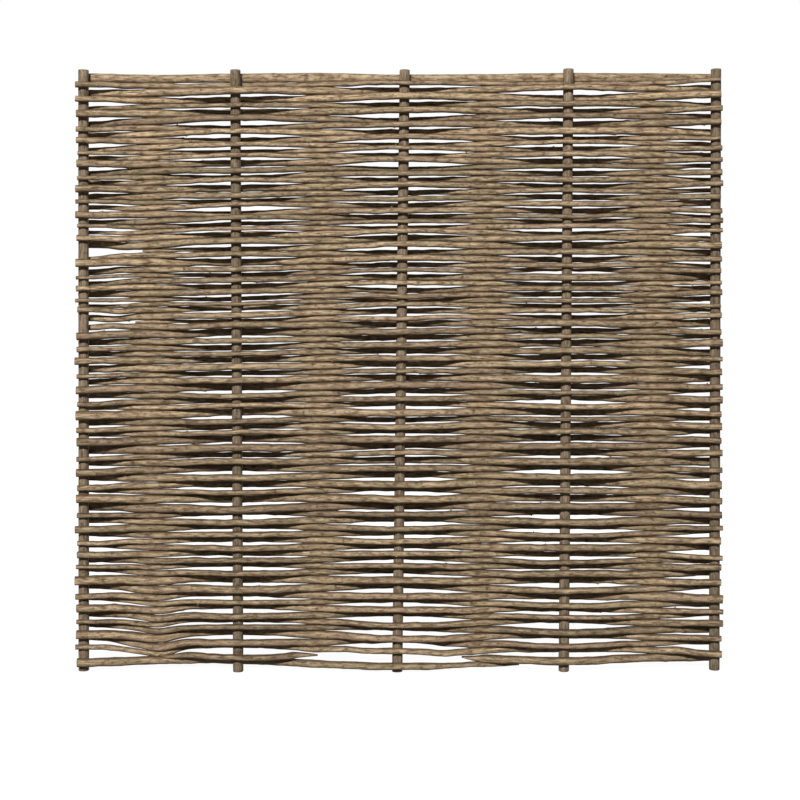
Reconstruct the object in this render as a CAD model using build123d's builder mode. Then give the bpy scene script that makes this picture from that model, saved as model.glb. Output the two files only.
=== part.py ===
from build123d import *
import os
from math import asin, atan2, cos, hypot, pi, sin, sqrt, tan

# Woven hazel fence panel.
# Five round stakes stand in a row. Hazel rods run level from end to end and are woven
# alternately in front of and behind the stakes, each one opposite to its neighbours.
# A thicker top rail lies across the backs of the stakes and is nailed to each of them.
# Millimetres. +X runs along the rods to the right, +Y from the front to the back, +Z up.
# The origin is the centre of the middle stake's foot.

# Stakes, from left to right
stake_diameter = 29.0
outer_bay_left = 433.0
inner_bay_left = 446.0
inner_bay_right = 467.0
outer_bay_right = 422.0
stake_leans = (-1.0, -8.0, 21.0, 13.0, 5.0)  # how far each top stands to the right of its foot
foot_rises = (3.0, 0.0, 0.0, 1.0, 5.0)  # feet above the lowest one
top_rises = (0.0, 0.0, 0.0, 2.5, 2.5)  # tops above the lowest one
stake_projection = 3.5  # of the lowest stake top above the top rail

# Woven rods, numbered from the lowest one, which is rod 0
rod_pairs = 44
rod_diameter = 17.2  # across the flats, at half length, before the two variations below
rod_sides = 8
butt_gain = 0.17  # share by which a rod's butt is thicker, and its tip thinner, than its middle
rod_variation = 0.20  # share by which single rods are thicker or thinner
thick_rods = {0: 0.24, 1: 0.18}  # share by which these rods are thicker, in place of the variation
foot_swell = 0.10  # share by which the rods low in the panel are thicker, and those high up thinner
rod_gap = 0.25  # least gap between neighbours where they cross
rod_play = 0.69  # further gap, on average
left_settle = 0.9  # share of the play that moves from the lower to the upper rods at the left end
first_rod_heights = (33.0, 19.0, 13.0)  # rod 0 at the left, middle and right stake

# How the rods pass the stakes
stake_clearance = 0.25  # between a rod, or the rail, and the stake that it bears on
bend_reach = 55.0  # from a stake's centre to the bend where a rod leaves it
end_projection = 1.5  # of the rod ends beyond the outer stakes, on average
end_variation = 3.5  # by which the rod ends are uneven

# Rods that thin to a tip inside a bay: how far short of the outer stake's centre
short_at_left = {50: 145.0, 62: 165.0}
short_at_right = {0: 546.0}
tip_diameter = 8.0

# The rod that is in two lengths
split_rod = 1
first_length_reach = 223.0  # of the first length, to each side of the second stake
second_length_start = 181.0  # of the other length, to the right of the middle stake

# Top rail
rail_sides = 16
rail_left_diameter = 24.0
rail_middle_diameter = 18.5
rail_right_diameter = 17.0
rail_gap = 9.0  # between the highest rod and the rail

# Nails, driven from the back through the rail into the stakes
nail_sides = 8
nail_head_sides = 12
nail_diameter = 2.8
nail_length = 40.0
nail_head_diameter = 6.5
nail_head_thickness = 1.2
nail_point_length = 4.0
nail_point_diameter = 0.6
nail_clearance = 0.1  # round the shank, under the head and past the point

os.makedirs("parts", exist_ok=True)

# Values that follow from the sizes above
LEFT, MIDDLE, RIGHT = 0, 2, 4  # the stakes at which the heights of the rods are set
STATIONS = (LEFT, MIDDLE, RIGHT)
INNER_STAKES = (1, 2, 3)
FRONT, BACK = -1, 1
GOLDEN_SHARE = (sqrt(5) - 1) / 2

stake_radius = stake_diameter / 2
bearing = stake_radius + stake_clearance  # from a stake's axis to the near side of a rod
stake_feet = (
    -outer_bay_left - inner_bay_left,
    -inner_bay_left,
    0.0,
    inner_bay_right,
    inner_bay_right + outer_bay_right,
)
rod_count = 2 * rod_pairs + 1
top_rod = rod_count - 1
rail_diameters = {
    LEFT: rail_left_diameter,
    MIDDLE: rail_middle_diameter,
    RIGHT: rail_right_diameter,
}
shank_length = nail_length - nail_point_length
nail_hole_radius = nail_diameter / 2 + nail_clearance


def spread(number, share=GOLDEN_SHARE):
    """An even but irregular scatter of values from -1 to 1, one for each whole number."""
    return 2 * (number * number * share % 1) - 1


def rod_radius(rod, x):
    """Half the thickness of a rod at x: rods taper evenly, and their butts lie left, right, right, left."""
    height_share = rod / top_rod
    swell = foot_swell * sin(2 * pi * height_share)
    own_share = thick_rods.get(rod, rod_variation * spread(rod))
    middle = rod_diameter / 2 * (1 + swell + own_share)
    butt_side = -1 if rod % 4 in (0, 3) else 1
    end = stake_feet[RIGHT] if x > 0 else -stake_feet[LEFT]
    return middle * (1 + butt_side * butt_gain * x / end)


def stacked_height(station, rod, play):
    """Height of a rod's centre at a station, as the rods below it pile up, each with its share of play."""
    x = stake_feet[station]
    height = first_rod_heights[STATIONS.index(station)]
    for below in range(rod):
        shift = left_settle * cos(pi * below / top_rod) if station == LEFT else 0
        height += rod_radius(below, x) + rod_radius(below + 1, x) + rod_gap + play * (1 - shift)
    return height


# The rail lies level on top, over the station where the weave comes highest
top_rod_radii = {s: rod_radius(top_rod, stake_feet[s]) for s in STATIONS}
rail_seats = {s: stacked_height(s, top_rod, rod_play) + top_rod_radii[s] + rail_gap for s in STATIONS}
rail_top = max(rail_seats[s] + rail_diameters[s] for s in STATIONS)
rod_plays = {s: rod_play + (rail_top - rail_diameters[s] - rail_seats[s]) / top_rod for s in STATIONS}
rod_heights = {s: [stacked_height(s, rod, rod_plays[s]) for rod in range(rod_count)] for s in STATIONS}
stake_top = rail_top + stake_projection


def stake_x(stake, z):
    """Where a stake's axis is at height z, with its lean."""
    return stake_feet[stake] + stake_leans[stake] * z / stake_top


def rod_height(rod, x):
    """Height of a rod's centre at x: straight from one station to the next."""
    side = RIGHT if x > 0 else LEFT
    middle = rod_heights[MIDDLE][rod]
    return middle + (rod_heights[side][rod] - middle) * x / stake_feet[side]


def side_of(rod, stake):
    """Even rods pass in front of the outer and middle stakes, odd rods behind them."""
    return FRONT if (rod + stake) % 2 == 0 else BACK


def end_y(rod, stake, from_x, from_y, to_x):
    """Where a rod's end comes to lie, on the straight line from its last bend past the outer stake."""
    x = stake_x(stake, rod_height(rod, stake_feet[stake]))
    across = x - from_x
    outward = 1 if across > 0 else -1
    to_axis = atan2(-from_y, abs(across))
    clear = asin((bearing + rod_radius(rod, x)) / hypot(across, from_y))
    return from_y + tan(to_axis + side_of(rod, stake) * clear) * outward * (to_x - from_x)


def rod_path(rod):
    """Centre and radius of a rod at its ends and bends, left to right: two bends at each inner stake."""
    bends = []
    for stake in INNER_STAKES:
        axis_x = stake_x(stake, rod_height(rod, stake_feet[stake]))
        for x in (axis_x - bend_reach, axis_x + bend_reach):
            bends.append((x, side_of(rod, stake) * (bearing + rod_radius(rod, x))))
    reach = stake_radius + end_projection
    left_x = stake_feet[LEFT] - reach - end_variation * spread(rod, 1 / sqrt(2))
    right_x = stake_feet[RIGHT] + reach + end_variation * spread(rod, 1 / sqrt(3))
    left_end = (left_x, end_y(rod, LEFT, *bends[0], left_x))
    right_end = (right_x, end_y(rod, RIGHT, *bends[-1], right_x))
    return [(x, y, rod_radius(rod, x)) for x, y in (left_end, *bends, right_end)]


def cut_short(path, limit, radius):
    """A path from its first point as far as the limit, where it is cut off and has the radius given."""
    for count, (inner, outer) in enumerate(zip(path, path[1:]), start=1):
        if (inner[0] - limit) * (outer[0] - limit) <= 0:
            share = (limit - inner[0]) / (outer[0] - inner[0])
            return path[:count] + [(limit, inner[1] + share * (outer[1] - inner[1]), radius)]
    return path


def stretch(rod, start, end):
    """The part of a rod's path from start to end."""
    path = cut_short(rod_path(rod), end, rod_radius(rod, end))
    return cut_short(path[::-1], start, rod_radius(rod, start))[::-1]


def rod_lengths(rod):
    """The paths of the one or two lengths that a rod is made of."""
    path = rod_path(rod)
    if rod == split_rod:
        carrier = stake_feet[INNER_STAKES[0]]
        return [
            stretch(rod, carrier - first_length_reach, carrier + first_length_reach),
            stretch(rod, stake_feet[MIDDLE] + second_length_start, path[-1][0]),
        ]
    if rod in short_at_left:
        path = cut_short(path[::-1], stake_feet[LEFT] + short_at_left[rod], tip_diameter / 2)[::-1]
    if rod in short_at_right:
        path = cut_short(path, stake_feet[RIGHT] - short_at_right[rod], tip_diameter / 2)
    return [path]


def section_plane(rod, x, y):
    """The upright plane of a rod's section, with its origin at the rod's centre."""
    return Plane(origin=(x, y, rod_height(rod, x)), x_dir=(0, 1, 0), z_dir=(1, 0, 0))


def rail_radius(x):
    """Half the rail's thickness at x: it tapers evenly from each outer stake to the middle one."""
    side = RIGHT if x > 0 else LEFT
    middle = rail_diameters[MIDDLE] / 2
    return middle + (rail_diameters[side] / 2 - middle) * x / stake_feet[side]


def nail_entry(stake):
    """The plane on the back of the rail where a nail goes in. Its normal points out of the wood."""
    x = stake_x(stake, rail_top)
    radius = rail_radius(x)
    y = bearing + 2 * radius + nail_clearance
    return Plane(origin=(x, y, rail_top - radius), x_dir=(1, 0, 0), z_dir=(0, 1, 0))


# Stakes: a straight round pole, cut off level at both ends, with a blind hole for its nail
for stake, foot_x in enumerate(stake_feet):
    foot_z = foot_rises[stake]
    top_z = stake_top + top_rises[stake]
    pole_axis = Plane(origin=(foot_x, 0, 0), z_dir=(stake_leans[stake], 0, stake_top))
    with BuildPart() as pole:
        with BuildSketch(pole_axis.offset(-stake_radius)):
            Circle(stake_radius)
        extrude(amount=top_z + 2 * stake_diameter)
        split(bisect_by=Plane.XY.offset(foot_z), keep=Keep.TOP)
        split(bisect_by=Plane.XY.offset(top_z), keep=Keep.BOTTOM)
        with Locations(nail_entry(stake)):
            Hole(nail_hole_radius, depth=nail_length + nail_clearance)
    stake_name = f"stake_{stake + 1}"
    pole.part.label = stake_name
    export_step(pole.part, f"parts/{stake_name}.step")

# Lowest rod, which stops short of the right-hand stakes
with BuildPart() as bottom_rod:
    for x, y, radius in rod_lengths(0)[0]:
        with BuildSketch(section_plane(0, x, y)):
            RegularPolygon(radius, rod_sides, major_radius=False, rotation=180 / rod_sides)
    loft(ruled=True)
bottom_rod.part.label = "bottom_rod"
export_step(bottom_rod.part, "parts/bottom_rod.step")

# Rod pairs: two neighbours that cross in every bay, one in front of a stake where the other is behind it
for pair in range(rod_pairs):
    with BuildPart() as rod_pair:
        for rod in (2 * pair + 1, 2 * pair + 2):
            for length in rod_lengths(rod):
                for x, y, radius in length:
                    with BuildSketch(section_plane(rod, x, y)):
                        RegularPolygon(radius, rod_sides, major_radius=False, rotation=180 / rod_sides)
                loft(ruled=True)
    pair_name = f"rod_pair_{pair + 1:02d}"
    rod_pair.part.label = pair_name
    export_step(rod_pair.part, f"parts/{pair_name}.step")

# Top rail: a pole that thins to the right, with its front and its top straight
rail_stations = (stake_x(LEFT, rail_top) - stake_radius, 0, stake_x(RIGHT, rail_top) + stake_radius)
with BuildPart() as top_rail:
    for x in rail_stations:
        radius = rail_radius(x)
        centre = (x, bearing + radius, rail_top - radius)
        with BuildSketch(Plane(origin=centre, x_dir=(0, 1, 0), z_dir=(1, 0, 0))):
            RegularPolygon(radius, rail_sides, major_radius=False, rotation=180 / rail_sides)
    loft(ruled=True)
    for stake in range(len(stake_feet)):
        with Locations(nail_entry(stake)):
            Hole(nail_hole_radius, depth=nail_length + nail_clearance)
top_rail.part.label = "top_rail"
export_step(top_rail.part, "parts/top_rail.step")

# Rail nails: one at each stake, with a flat head and a tapered point
with BuildPart() as rail_nails:
    for stake in range(len(stake_feet)):
        entry = nail_entry(stake)
        with BuildSketch(entry):
            RegularPolygon(nail_head_diameter / 2, nail_head_sides)
        extrude(amount=nail_head_thickness)
        with BuildSketch(entry):
            RegularPolygon(nail_diameter / 2, nail_sides)
        extrude(amount=-shank_length)
        for depth, diameter in ((shank_length, nail_diameter), (nail_length, nail_point_diameter)):
            with BuildSketch(entry.offset(-depth)):
                RegularPolygon(diameter / 2, nail_sides)
        loft(ruled=True)
rail_nails.part.label = "rail_nails"
export_step(rail_nails.part, "parts/rail_nails.step")

print(f"stakes {stake_top + max(top_rises):.1f} mm high, top rail at {rail_top:.1f} mm")
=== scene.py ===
"""Looks of a woven hazel fence panel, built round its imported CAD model.

Each rod, stake and rail is one swept surface: a centre line, and round it closed rings whose radius
is a function of the length along the pole and of the angle round it. Both are worked out as whole arrays.
"""
import logging
from dataclasses import dataclass, field, replace
from enum import Enum

import bmesh
import bpy
import numpy as np
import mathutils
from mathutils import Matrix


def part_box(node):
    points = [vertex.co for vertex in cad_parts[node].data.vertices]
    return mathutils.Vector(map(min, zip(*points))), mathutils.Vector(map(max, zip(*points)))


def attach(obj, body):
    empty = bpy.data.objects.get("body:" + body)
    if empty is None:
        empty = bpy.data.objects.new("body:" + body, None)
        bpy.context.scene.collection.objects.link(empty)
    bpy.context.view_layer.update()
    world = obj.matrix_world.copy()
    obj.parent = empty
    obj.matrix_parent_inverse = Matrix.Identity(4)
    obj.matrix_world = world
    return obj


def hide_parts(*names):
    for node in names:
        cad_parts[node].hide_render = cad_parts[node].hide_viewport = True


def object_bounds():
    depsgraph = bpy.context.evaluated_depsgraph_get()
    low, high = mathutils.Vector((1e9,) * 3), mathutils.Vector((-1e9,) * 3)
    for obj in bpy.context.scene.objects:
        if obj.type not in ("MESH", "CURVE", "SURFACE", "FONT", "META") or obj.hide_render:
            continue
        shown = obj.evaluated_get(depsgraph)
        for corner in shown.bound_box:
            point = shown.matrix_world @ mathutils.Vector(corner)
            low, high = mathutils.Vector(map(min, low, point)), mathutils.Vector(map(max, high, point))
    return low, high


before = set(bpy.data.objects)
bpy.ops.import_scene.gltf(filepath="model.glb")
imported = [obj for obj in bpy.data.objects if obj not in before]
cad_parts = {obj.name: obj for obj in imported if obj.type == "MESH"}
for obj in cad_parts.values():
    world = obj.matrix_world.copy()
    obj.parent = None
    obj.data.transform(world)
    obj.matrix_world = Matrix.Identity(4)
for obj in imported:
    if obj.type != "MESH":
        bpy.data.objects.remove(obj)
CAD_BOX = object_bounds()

# Everything is in metres, in the panel's own frame: +X along the rods, +Y to the back, +Z up
MM = 0.001
UP = (0.0, 0.0, 1.0)
TURN = 2.0 * np.pi
WELD = 0.01 * MM  # points of a CAD solid that are closer than this are one
SAME_PLACE = 0.05 * MM  # the corners of one section of a CAD solid differ by less than this along it
WAVE_SPREAD = (0.6, 1.7)  # shortest and longest wave of a smooth random line, against its typical one
log = logging.getLogger("hazel_panel")

Array = np.ndarray
Vector = tuple[float, float, float]
Colour = tuple[float, float, float]
Piece = bpy.types.Object
Material = bpy.types.Material
Socket = bpy.types.NodeSocket


class Carried(Enum):
    """The attributes that a pole's surface carries for its finish."""

    GRAIN = "grain"  # length along the pole and the two directions across it, as if it were straight
    TONE = "tone"  # from -1, dark, to 1, pale, one value for a whole pole
    WARMTH = "warmth"  # from -1, olive, to 1, pinkish brown, one value for a whole pole
    KNOT = "knot"  # 1 in the middle of a knot, 0 away from it
    CUT = "cut"  # 1 on sawn wood, 0 on bark
    BARE = "bare"  # 1 where the bark has come off


def smooth_step(values: Array) -> Array:
    """The ease 3t^2 - 2t^3, with t held between 0 and 1."""
    held = np.clip(values, 0.0, 1.0)
    return held * held * (3.0 - 2.0 * held)


def unit(vectors: Array) -> Array:
    """The same vectors at length 1."""
    return vectors / np.linalg.norm(vectors, axis=-1, keepdims=True)


def column_angles(sides: int) -> Array:
    """The angle of each column of a tube, evenly round a whole turn."""
    return np.arange(sides) * TURN / sides


def soft_noise(places: Array, wavelength: float, rng: np.random.Generator, waves: int = 5) -> Array:
    """A smooth random line: sine waves of nearly the same wavelength, added up.

    Args:
        places: Where the line is read, in metres.
        wavelength: The typical wavelength, in metres.
        rng: Source of the random phases and lengths.
        waves: How many sine waves are added.

    Returns:
        One value for each place, mostly between -1 and 1.
    """
    lengths = wavelength * rng.uniform(*WAVE_SPREAD, waves)
    phases = rng.uniform(0.0, TURN, waves)
    return np.sin(TURN * places[..., None] / lengths + phases).sum(axis=-1) / np.sqrt(waves)


def eased(x: Array, places: Array, values: Array) -> Array:
    """A line through one value at each place, level there, with the ease 3t^2 - 2t^3 from each to the next.

    Args:
        x: Where the line is read. Past the first and the last place it stays level.
        places: The places, in order.
        values: The value at each of them.

    Returns:
        One value for each x.
    """
    held = np.clip(x, places[0], places[-1])
    run = np.clip(np.searchsorted(places, held) - 1, 0, len(places) - 2)
    ease = smooth_step((held - places[run]) / (places[run + 1] - places[run]))
    return values[run] + (values[run + 1] - values[run]) * ease


def bay_places() -> Array:
    """Where the stakes stand and the middles between them, in order from left to right."""
    stakes = np.array([np.mean([box[0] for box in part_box(f"stake_{number}")]) for number in range(1, 6)])
    return np.sort(np.concatenate([stakes, (stakes[1:] + stakes[:-1]) / 2.0]))


@dataclass
class Surface:
    """Points and faces of closed tubes that end up as one mesh, with the values that its finish reads."""

    points: list[Array] = field(default_factory=list)
    quads: list[Array] = field(default_factory=list)
    fans: list[Array] = field(default_factory=list)
    carried: dict[Carried, list[Array]] = field(default_factory=lambda: {kind: [] for kind in Carried})
    count: int = 0

    def add_tube(self, rings: Array, values: dict[Carried, Array]) -> None:
        """Adds a tube whose rows of points are closed round, with a point in the middle of each end.

        The quad between rows k and k + 1 and columns j and j + 1 runs (k, j), (k+1, j), (k+1, j+1),
        (k, j+1), so it faces outward where the columns turn left about the rows' direction.

        Args:
            rings: Points in rows and columns, shape (rows, columns, 3).
            values: Carried attributes in rows and columns. What is left out is 0.
        """
        rows, columns = rings.shape[:2]
        number = self.count + np.arange(rows * columns).reshape(rows, columns)
        after = np.roll(number, -1, axis=1)
        first_pole, last_pole = self.count + rows * columns, self.count + rows * columns + 1
        self.quads.append(np.stack([number[:-1], number[1:], after[1:], after[:-1]], axis=-1).reshape(-1, 4))
        self.fans.append(np.stack([np.full(columns, first_pole), number[0], after[0]], axis=-1))
        self.fans.append(np.stack([np.full(columns, last_pole), after[-1], number[-1]], axis=-1))
        self.points += [rings.reshape(-1, 3), rings[0].mean(axis=0)[None], rings[-1].mean(axis=0)[None]]
        for kind in Carried:
            shape = rings.shape if kind is Carried.GRAIN else rings.shape[:2]
            grid = np.broadcast_to(values.get(kind, 0.0), shape)
            poles = np.stack([grid[0].mean(axis=0), grid[-1].mean(axis=0)])
            self.carried[kind].append(np.concatenate([grid.reshape(-1, *shape[2:]), poles]))
        self.count += rows * columns + 2

    def build(self, name: str, node: str, finish: Material) -> Piece:
        """Makes the mesh object, smooth shaded, and hangs it in the frame in place of its CAD node.

        Args:
            name: The piece's name.
            node: The CAD node that it stands for.
            finish: Its material here.

        Returns:
            The new object, at the origin.
        """
        quads, fans = np.concatenate(self.quads), np.concatenate(self.fans)
        corners = np.concatenate([quads.ravel(), fans.ravel()]).astype(np.int32)
        sizes = np.repeat([4, 3], [len(quads), len(fans)])
        mesh = bpy.data.meshes.new(name)
        mesh.vertices.add(self.count)
        mesh.vertices.foreach_set("co", np.concatenate(self.points).astype(np.float32).ravel())
        mesh.loops.add(len(corners))
        mesh.loops.foreach_set("vertex_index", corners)
        mesh.polygons.add(len(sizes))
        mesh.polygons.foreach_set("loop_start", (np.cumsum(sizes) - sizes).astype(np.int32))
        mesh.polygons.foreach_set("use_smooth", np.ones(len(sizes), bool))
        for kind, parts in self.carried.items():
            values = np.concatenate(parts).astype(np.float32)
            data_type, member = ("FLOAT_VECTOR", "vector") if values.ndim == 2 else ("FLOAT", "value")
            mesh.attributes.new(kind.value, data_type, "POINT").data.foreach_set(member, values.ravel())
        mesh.update(calc_edges=True)
        mesh.materials.append(finish)
        piece = bpy.data.objects.new(name, mesh)
        bpy.context.scene.collection.objects.link(piece)
        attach(piece, "root")
        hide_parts(node)
        return piece


def separate_solids(node: str) -> list[Array]:
    """Reads the corner points of each separate solid of a CAD node.

    The loose triangles are merged in a copy, and each point then takes the lowest number of any point that
    it is joined to, until nothing changes.

    Args:
        node: The node's name.

    Returns:
        One array of points for each solid, each sorted by x.
    """
    copy = bmesh.new()
    copy.from_mesh(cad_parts[node].data)
    bmesh.ops.remove_doubles(copy, verts=copy.verts, dist=WELD)
    merged = bpy.data.meshes.new("merged")
    copy.to_mesh(merged)
    copy.free()
    points = np.empty(len(merged.vertices) * 3)
    merged.vertices.foreach_get("co", points)
    points = points.reshape(-1, 3)
    edges = np.empty(len(merged.edges) * 2, np.int32)
    merged.edges.foreach_get("vertices", edges)
    bpy.data.meshes.remove(merged)
    labels, settled = np.arange(len(points)), False
    while not settled:
        lowest = labels.copy()
        np.minimum.at(lowest, edges, np.repeat(labels[edges.reshape(-1, 2)].min(axis=1), 2))
        settled = (lowest == labels).all()
        labels = lowest
    solids = [points[labels == label] for label in np.unique(labels)]
    return [solid[np.argsort(solid[:, 0], kind="stable")] for solid in solids]


@dataclass
class Knots:
    """The knots of one pole, where side shoots grew, on alternate sides, and the rings that show them."""

    start: float  # where the pole starts, along its length
    end: float
    rng: np.random.Generator
    spacing: float = 0.21  # mean distance between two knots
    swelling: float = 0.15  # share of the radius by which a knot stands out on its own side
    reach: float = 7.0 * MM  # half length of the swelling
    jitter: float = 0.35  # share of the spacing by which a knot is out of its place
    twist: float = 0.5  # angle by which it is out of its side
    weakest: float = 0.25  # strength of the weakest knot, against 1 for the strongest
    all_round: float = 0.2  # share of the swelling that goes all round the pole
    ring_spacing: float = 10.0 * MM
    rings: int = 7  # at each knot
    ring_reach: float = 1.5  # half the length that they take up, against the swelling's
    ring_margin: float = 2.0 * MM  # from them to the pole's ends
    least_step: float = 0.6 * MM  # between two rings
    places: Array = field(init=False)
    angles: Array = field(init=False)
    strengths: Array = field(init=False)

    def __post_init__(self) -> None:
        """Places the knots from start to end, each about half a turn from the one before it."""
        count = max(1, round((self.end - self.start) / self.spacing))
        numbers = np.arange(count)
        step = (self.end - self.start) / count
        self.places = self.start + step * (numbers + 0.5 + self.rng.uniform(-self.jitter, self.jitter, count))
        self.angles = np.pi * numbers + self.rng.uniform(0.0, TURN) + self.rng.normal(0.0, self.twist, count)
        self.strengths = self.rng.uniform(self.weakest, 1.0, count)

    def swell(self, along: Array, around: Array) -> tuple[Array, Array]:
        """The swelling and the knot mask on a grid of lengths and angles.

        With n = exp(-(distance / reach)^2), f = ((1 + cos(angle from the knot)) / 2)^3 and r the share that
        goes all round, the swelling adds up strength times n (r + (1 - r) f), and the mask strength times
        n^3 f^3.

        Args:
            along: Length of each row along the pole.
            around: Angle of each column.

        Returns:
            The share by which the radius grows, and the mask, both in rows and columns.
        """
        near = np.exp(-(((along[:, None] - self.places) / self.reach) ** 2))
        facing = ((1.0 + np.cos(around[:, None] - self.angles)) / 2.0) ** 3
        form = self.all_round + (1.0 - self.all_round) * facing
        swelling = self.swelling * np.einsum("kn,jn->kj", near * self.strengths, form)
        mask = np.einsum("kn,jn->kj", near**3 * self.strengths, facing**3)
        return swelling, np.clip(mask, 0.0, 1.0)

    def ring_places(self) -> Array:
        """Where the pole's rings go, in order along it: evenly, with more of them at each knot."""
        even = np.linspace(self.start, self.end, round((self.end - self.start) / self.ring_spacing) + 1)
        spread = np.linspace(-self.ring_reach, self.ring_reach, self.rings) * self.reach
        extra = (self.places[:, None] + spread).ravel()
        inside = extra[(extra > self.start + self.ring_margin) & (extra < self.end - self.ring_margin)]
        places = np.unique(np.concatenate([even, inside]))
        keep = np.concatenate([[True], np.diff(places) > self.least_step])
        keep[-2] &= places[-1] - places[-2] > self.least_step
        keep[-1] = True
        return places[keep]


@dataclass(frozen=True)
class Stub:
    """The form of the short stubs that are left of a few side shoots, cut off square."""

    sides: int = 7
    rows: tuple[float, ...] = (0.0, 0.0, 0.55, 1.0, 1.0)  # along the stub, as shares of its length
    widths: tuple[float, ...] = (0.5, 1.25, 1.0, 0.85, 0.45)  # there, as shares of its radius
    cut: tuple[float, ...] = (0.0, 0.0, 0.0, 0.4, 1.0)  # there, how far it is sawn wood
    radii: tuple[float, float] = (1.0, 1.8)  # mm, of the thinnest and the thickest stub
    lengths: tuple[float, float] = (2.5, 5.5)  # mm
    leans: tuple[float, float] = (0.3, 1.0)  # along its pole, against 1 outward
    sunk: float = 0.5 * MM  # by which it starts inside the bark
    tone: float = -0.5  # against its pole's
    least_rise: float = 0.45  # sine of the least angle from straight to the front or the back
    end_rings: int = 4  # rings of the pole at each end that have no stub


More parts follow.
